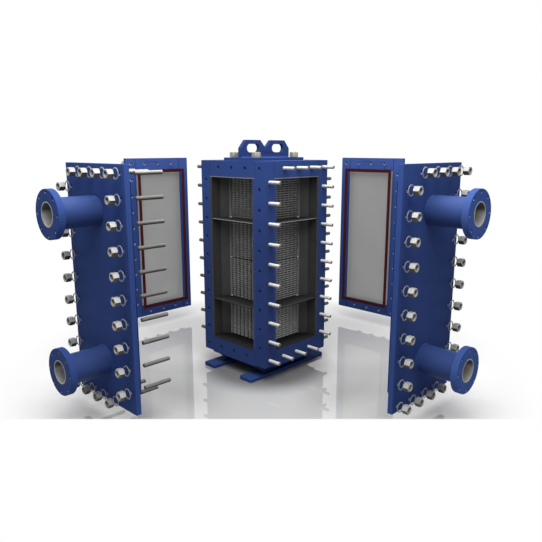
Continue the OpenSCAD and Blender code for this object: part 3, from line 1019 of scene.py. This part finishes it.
def plate_pass(node):
    """The plates of one pass, a dark post behind them as painted shade in their channels, and the
    corner strips.
    """
    low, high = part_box(node)
    half = high.x
    row = (high.z - low.z - SEAM) / ROWS
    shape = Shape()
    for number in range(ROWS):
        plate_row(shape, half, low.z + SEAM / 2 + (number + 0.5) * row, row, number)
    make_piece(node.replace("pack_pass", "stack_edges"), shape, pack_steel, 50,
               replaces=(node,))
    backing = Shape()
    square_post(backing, half - BACKING_DEPTH, low.z, high.z)
    make_piece(node.replace("pack_pass", "stack_channels"), backing, channel_painted_shade,
               30, edges=1.5 * MM)
    strips = Shape()
    out = half - STRIP / 2
    for x in (-out, out):
        for y in (-out, out):
            square_post(strips, STRIP / 2, low.z + SEAM, high.z - SEAM, (x, y))
    make_piece(node.replace("pack_pass", "stack_strips"), strips, strip_steel,
               30, edges=0.8 * MM)


# ---- the object ----

# Finish and width in mm of the eased edges of the CAD nodes that stay in view
DRESSED = (
    (frame_blue, 2.5, ["column_front_left", "column_front_right", "column_back_right",
                       "column_back_left", "top_head", "bottom_head", "lifting_plate"]),
    (foot_blue, 2.5, ["foot_front", "foot_back", "lifting_lug"]),
    (blue_paint, 2.0, ["cover_front", "cover_left", "nozzle_flanges_left"]),
    (far_blue, 2.0, ["cover_back", "cover_right"]),
    (flange_blue, 2.0, ["nozzle_flanges_front"]),
    (pipe_blue, 2.0, ["nozzle_pipes_front", "nozzle_pipes_left"]),
    (painted_lip_steel, 0.8, ["corner_liner_front_left"]),
    (inner_steel, 0.8, ["corner_liner_front_right", "corner_liner_back_right",
                        "corner_liner_back_left"]),
    (sill_steel, 0.8, ["bottom_head_lining"]),
    (top_lining_steel, 0.8, ["top_head_lining"]),
    (baffle_steel, 0.5, ["baffles_front", "baffles_left", "baffle_back", "baffle_right"]),
    (cover_steel, 0.6, ["cover_lining_" + side for side in SIDES]),
    (tube_steel, 1.0, ["nozzle_tubes_front", "nozzle_tubes_left"]),
    (gasket_red, 0.8, ["gasket_back"]),
    (gasket_red_front, 0.8, ["gasket_front"]),
    (gasket_red_side, 0.8, ["gasket_right"]),
    (gasket_red_left, 0.8, ["gasket_left"]),
)


def dress_nodes():
    """Gives the CAD nodes in view their finishes and eased edges."""
    for material, edge, names in DRESSED:
        for name in names:
            for slot in nodes[name].material_slots:
                slot.material = material
            ease_edges(nodes[name], edge * MM, from_cad=True)


dress_nodes()
for side_name in SIDES:
    threaded_studs(side_name)
    cover_fasteners(side_name)
plate_screws()
for side_name in SIDES:
    cover_hole_walls(side_name)
for side_name in NOZZLE_SIDES:
    flange_hole_walls(side_name)
tapped_holes()
joint_seams()
for pass_node in PACK_NODES:
    plate_pass(pass_node)
for side_name in NOZZLE_SIDES:
    nozzle_welds(side_name)
frame_welds()


# ---- studio ----

# Along the floor, from the core towards the viewer and to the viewer's right
AHEAD = (-0.7138, -0.7003, 0.0)
ASIDE = (0.7003, -0.7138, 0.0)
# Middle of the deepest shade, under the core's near corner
SHADE_MIDDLE = (-0.085, -0.085, 0.0)
FLOOR_HALF = 60.0
FLOOR_LEVEL = -1 * MM
# Painted shadow in the floor's colour: darkest under the core, a lighter shade close round it,
# darker again ahead of it, and a further shade beside it
FLOOR_SHADOW_UNDER = (0.2, 0.2, 0.198, 1)
FLOOR_SHADE_NEAR = (0.65, 0.65, 0.65, 1)
FLOOR_SHADOW_AHEAD = (0.52, 0.52, 0.518, 1)
FLOOR_SHADOW_ASIDE = (0.8, 0.8, 0.8, 1)
FLOOR_OPEN = ((0.93, 0.93, 0.94, 1), (0.96, 0.96, 0.96, 1))
FLOOR_BOUNCE = (0.14, 0.14, 0.145, 1)
EASED = "SMOOTHSTEP"


def floor_tones(tree):
    """Colour of the floor with the object's shadow painted into it, and the share by which it fades
    to plain white further out.
    """
    spot = add_node(tree, "ShaderNodeTexCoord").outputs["Object"]
    parts = add_node(tree, "ShaderNodeSeparateXYZ", {"Vector": spot}).outputs
    flat = add_node(tree, "ShaderNodeCombineXYZ",
                    {"X": parts["X"], "Y": parts["Y"]}).outputs["Vector"]

    def measured(operation, other=(0.0, 0.0, 0.0)):
        node = add_node(tree, "ShaderNodeVectorMath", {0: flat, 1: other}, operation=operation)
        return node.outputs["Value"]

    distance = measured("LENGTH")
    forward = measured("DOT_PRODUCT", AHEAD)
    sideways = maths(tree, "ABSOLUTE", measured("DOT_PRODUCT", ASIDE))
    near = blended(tree, ramp(tree, forward, 0.3, 0.8, EASED), FLOOR_SHADE_NEAR, FLOOR_SHADOW_AHEAD)
    beside = maths(tree, "MULTIPLY", ramp(tree, sideways, 0.2, 0.6, EASED),
                   ramp(tree, distance, 1.3, 1.05))
    shaded = maths(tree, "MULTIPLY", beside, ramp(tree, forward, -0.05, 0.3))
    near = blended(tree, shaded, near, FLOOR_SHADOW_ASIDE, "MULTIPLY")
    cloud = add_node(tree, "ShaderNodeTexNoise", {"Vector": spot, "Scale": 1.5, "Detail": 2.0})
    far = blended(tree, cloud.outputs["Fac"], *FLOOR_OPEN)
    wide = blended(tree, ramp(tree, distance, 1.45, 2.05, EASED), near, far)
    off_shade = ramp(tree, measured("DISTANCE", SHADE_MIDDLE), 0.42, 0.74, EASED)
    fade = maths(tree, "MAXIMUM", ramp(tree, distance, 1.95, 2.5, EASED),
                 ramp(tree, forward, 1.228, 1.244, EASED))
    return blended(tree, off_shade, FLOOR_SHADOW_UNDER, wide), fade


def studio_floor():
    """Pale glossy floor that carries the real shadow and a painted one, and lets light through from
    below.
    """
    mesh = bpy.data.meshes.new("studio_floor")
    corners = ((-1, -1), (1, -1), (1, 1), (-1, 1))
    mesh.from_pydata([(x * FLOOR_HALF, y * FLOOR_HALF, FLOOR_LEVEL) for x, y in corners],
                     [], [(0, 1, 2, 3)])
    floor = bpy.data.objects.new("studio_floor", mesh)
    bpy.context.scene.collection.objects.link(floor)
    material = bpy.data.materials.new("studio_floor")
    material.use_nodes = True
    tree = material.node_tree
    tree.nodes.clear()
    pale, fade = floor_tones(tree)
    ray = add_node(tree, "ShaderNodeLightPath").outputs
    bounce = blended(tree, ray["Is Diffuse Ray"], pale, FLOOR_BOUNCE)
    matt = add_node(tree, "ShaderNodeBsdfDiffuse", {"Color": bounce})
    mirror = add_node(tree, "ShaderNodeBsdfGlossy", {"Roughness": 0.012, "Color": WHITE})
    gloss = add_node(tree, "ShaderNodeFresnel", {"IOR": 1.95})
    sheet = add_node(tree, "ShaderNodeMixShader",
                     {"Fac": gloss.outputs["Fac"], 1: matt.outputs["BSDF"],
                      2: mirror.outputs["BSDF"]})
    glow = add_node(tree, "ShaderNodeEmission", {"Color": WHITE, "Strength": 1.0})
    seen = maths(tree, "SUBTRACT", 1.0, ray["Is Diffuse Ray"])
    lit = add_node(tree, "ShaderNodeMixShader",
                   {"Fac": maths(tree, "MULTIPLY", seen, fade), 1: sheet.outputs["Shader"],
                    2: glow.outputs["Emission"]})
    clear = add_node(tree, "ShaderNodeBsdfTransparent")
    side = add_node(tree, "ShaderNodeNewGeometry")
    sided = add_node(tree, "ShaderNodeMixShader",
                     {"Fac": side.outputs["Backfacing"], 1: lit.outputs["Shader"],
                      2: clear.outputs["BSDF"]})
    output = add_node(tree, "ShaderNodeOutputMaterial", {"Surface": sided.outputs["Shader"]})
    output.is_active_output = True
    mesh.materials.append(material)


# Strength of the even light at the horizon and overhead, and how it gathers overhead
HORIZON, ZENITH, GATHER = 0.045, 1.0, 1.5


def studio_world():
    """White behind the object, and a dimmer even light on it."""
    world = bpy.data.worlds.new("studio")
    bpy.context.scene.world = world
    world.use_nodes = True
    tree = world.node_tree
    tree.nodes.clear()
    ray = add_node(tree, "ShaderNodeLightPath").outputs
    seen = maths(tree, "MAXIMUM", ray["Is Camera Ray"], ray["Is Glossy Ray"])
    seen = maths(tree, "MAXIMUM", seen, ray["Is Transmission Ray"])
    look = add_node(tree, "ShaderNodeTexCoord").outputs["Generated"]
    parts = add_node(tree, "ShaderNodeSeparateXYZ", {"Vector": look}).outputs
    gathered = maths(tree, "POWER", maths(tree, "MAXIMUM", parts["Z"], 0.0), GATHER)
    level = add_node(tree, "ShaderNodeMapRange",
                     {"Value": gathered, "To Min": HORIZON, "To Max": ZENITH})
    even = add_node(tree, "ShaderNodeBackground",
                    {"Color": WHITE, "Strength": level.outputs["Result"]})
    white = add_node(tree, "ShaderNodeBackground", {"Color": WHITE, "Strength": 1.0})
    both = add_node(tree, "ShaderNodeMixShader",
                    {"Fac": seen, 1: even.outputs["Background"],
                     2: white.outputs["Background"]})
    add_node(tree, "ShaderNodeOutputWorld", {"Surface": both.outputs["Shader"]})


def soft_lamp(name, place, aim, size, power):
    lamp = bpy.data.lights.new(name, "AREA")
    lamp.shape = "SQUARE"
    lamp.size = size
    lamp.energy = power
    lit = bpy.data.objects.new(name, lamp)
    lit.location = place
    lit.rotation_euler = (Vector(aim) - Vector(place)).to_track_quat("-Z", "Y").to_euler()
    bpy.context.scene.collection.objects.link(lit)


def studio_camera(place, heading, pitch, lens):
    """A level camera that looks along a heading, tipped down by a pitch, in degrees."""
    camera = bpy.data.cameras.new("camera")
    camera.lens = lens
    camera.sensor_width = 36.0
    seen_from = bpy.data.objects.new("camera", camera)
    seen_from.location = place
    heading = math.radians(heading)
    pitch = math.radians(pitch)
    look = Vector((math.cos(heading) * math.cos(pitch), math.sin(heading) * math.cos(pitch),
                   -math.sin(pitch)))
    seen_from.rotation_euler = look.to_track_quat("-Z", "Y").to_euler()
    bpy.context.scene.collection.objects.link(seen_from)
    bpy.context.scene.camera = seen_from


studio_floor()
studio_world()
soft_lamp("key_light", place=(-1.2, -1.2, 3.6), aim=(-0.5, -0.5, 0.6), size=3.4, power=155)
studio_camera(place=(-3.6668, -3.6793, 1.9836), heading=44.45, pitch=12.061, lens=37.825)
bpy.context.scene.view_settings.view_transform = "Standard"
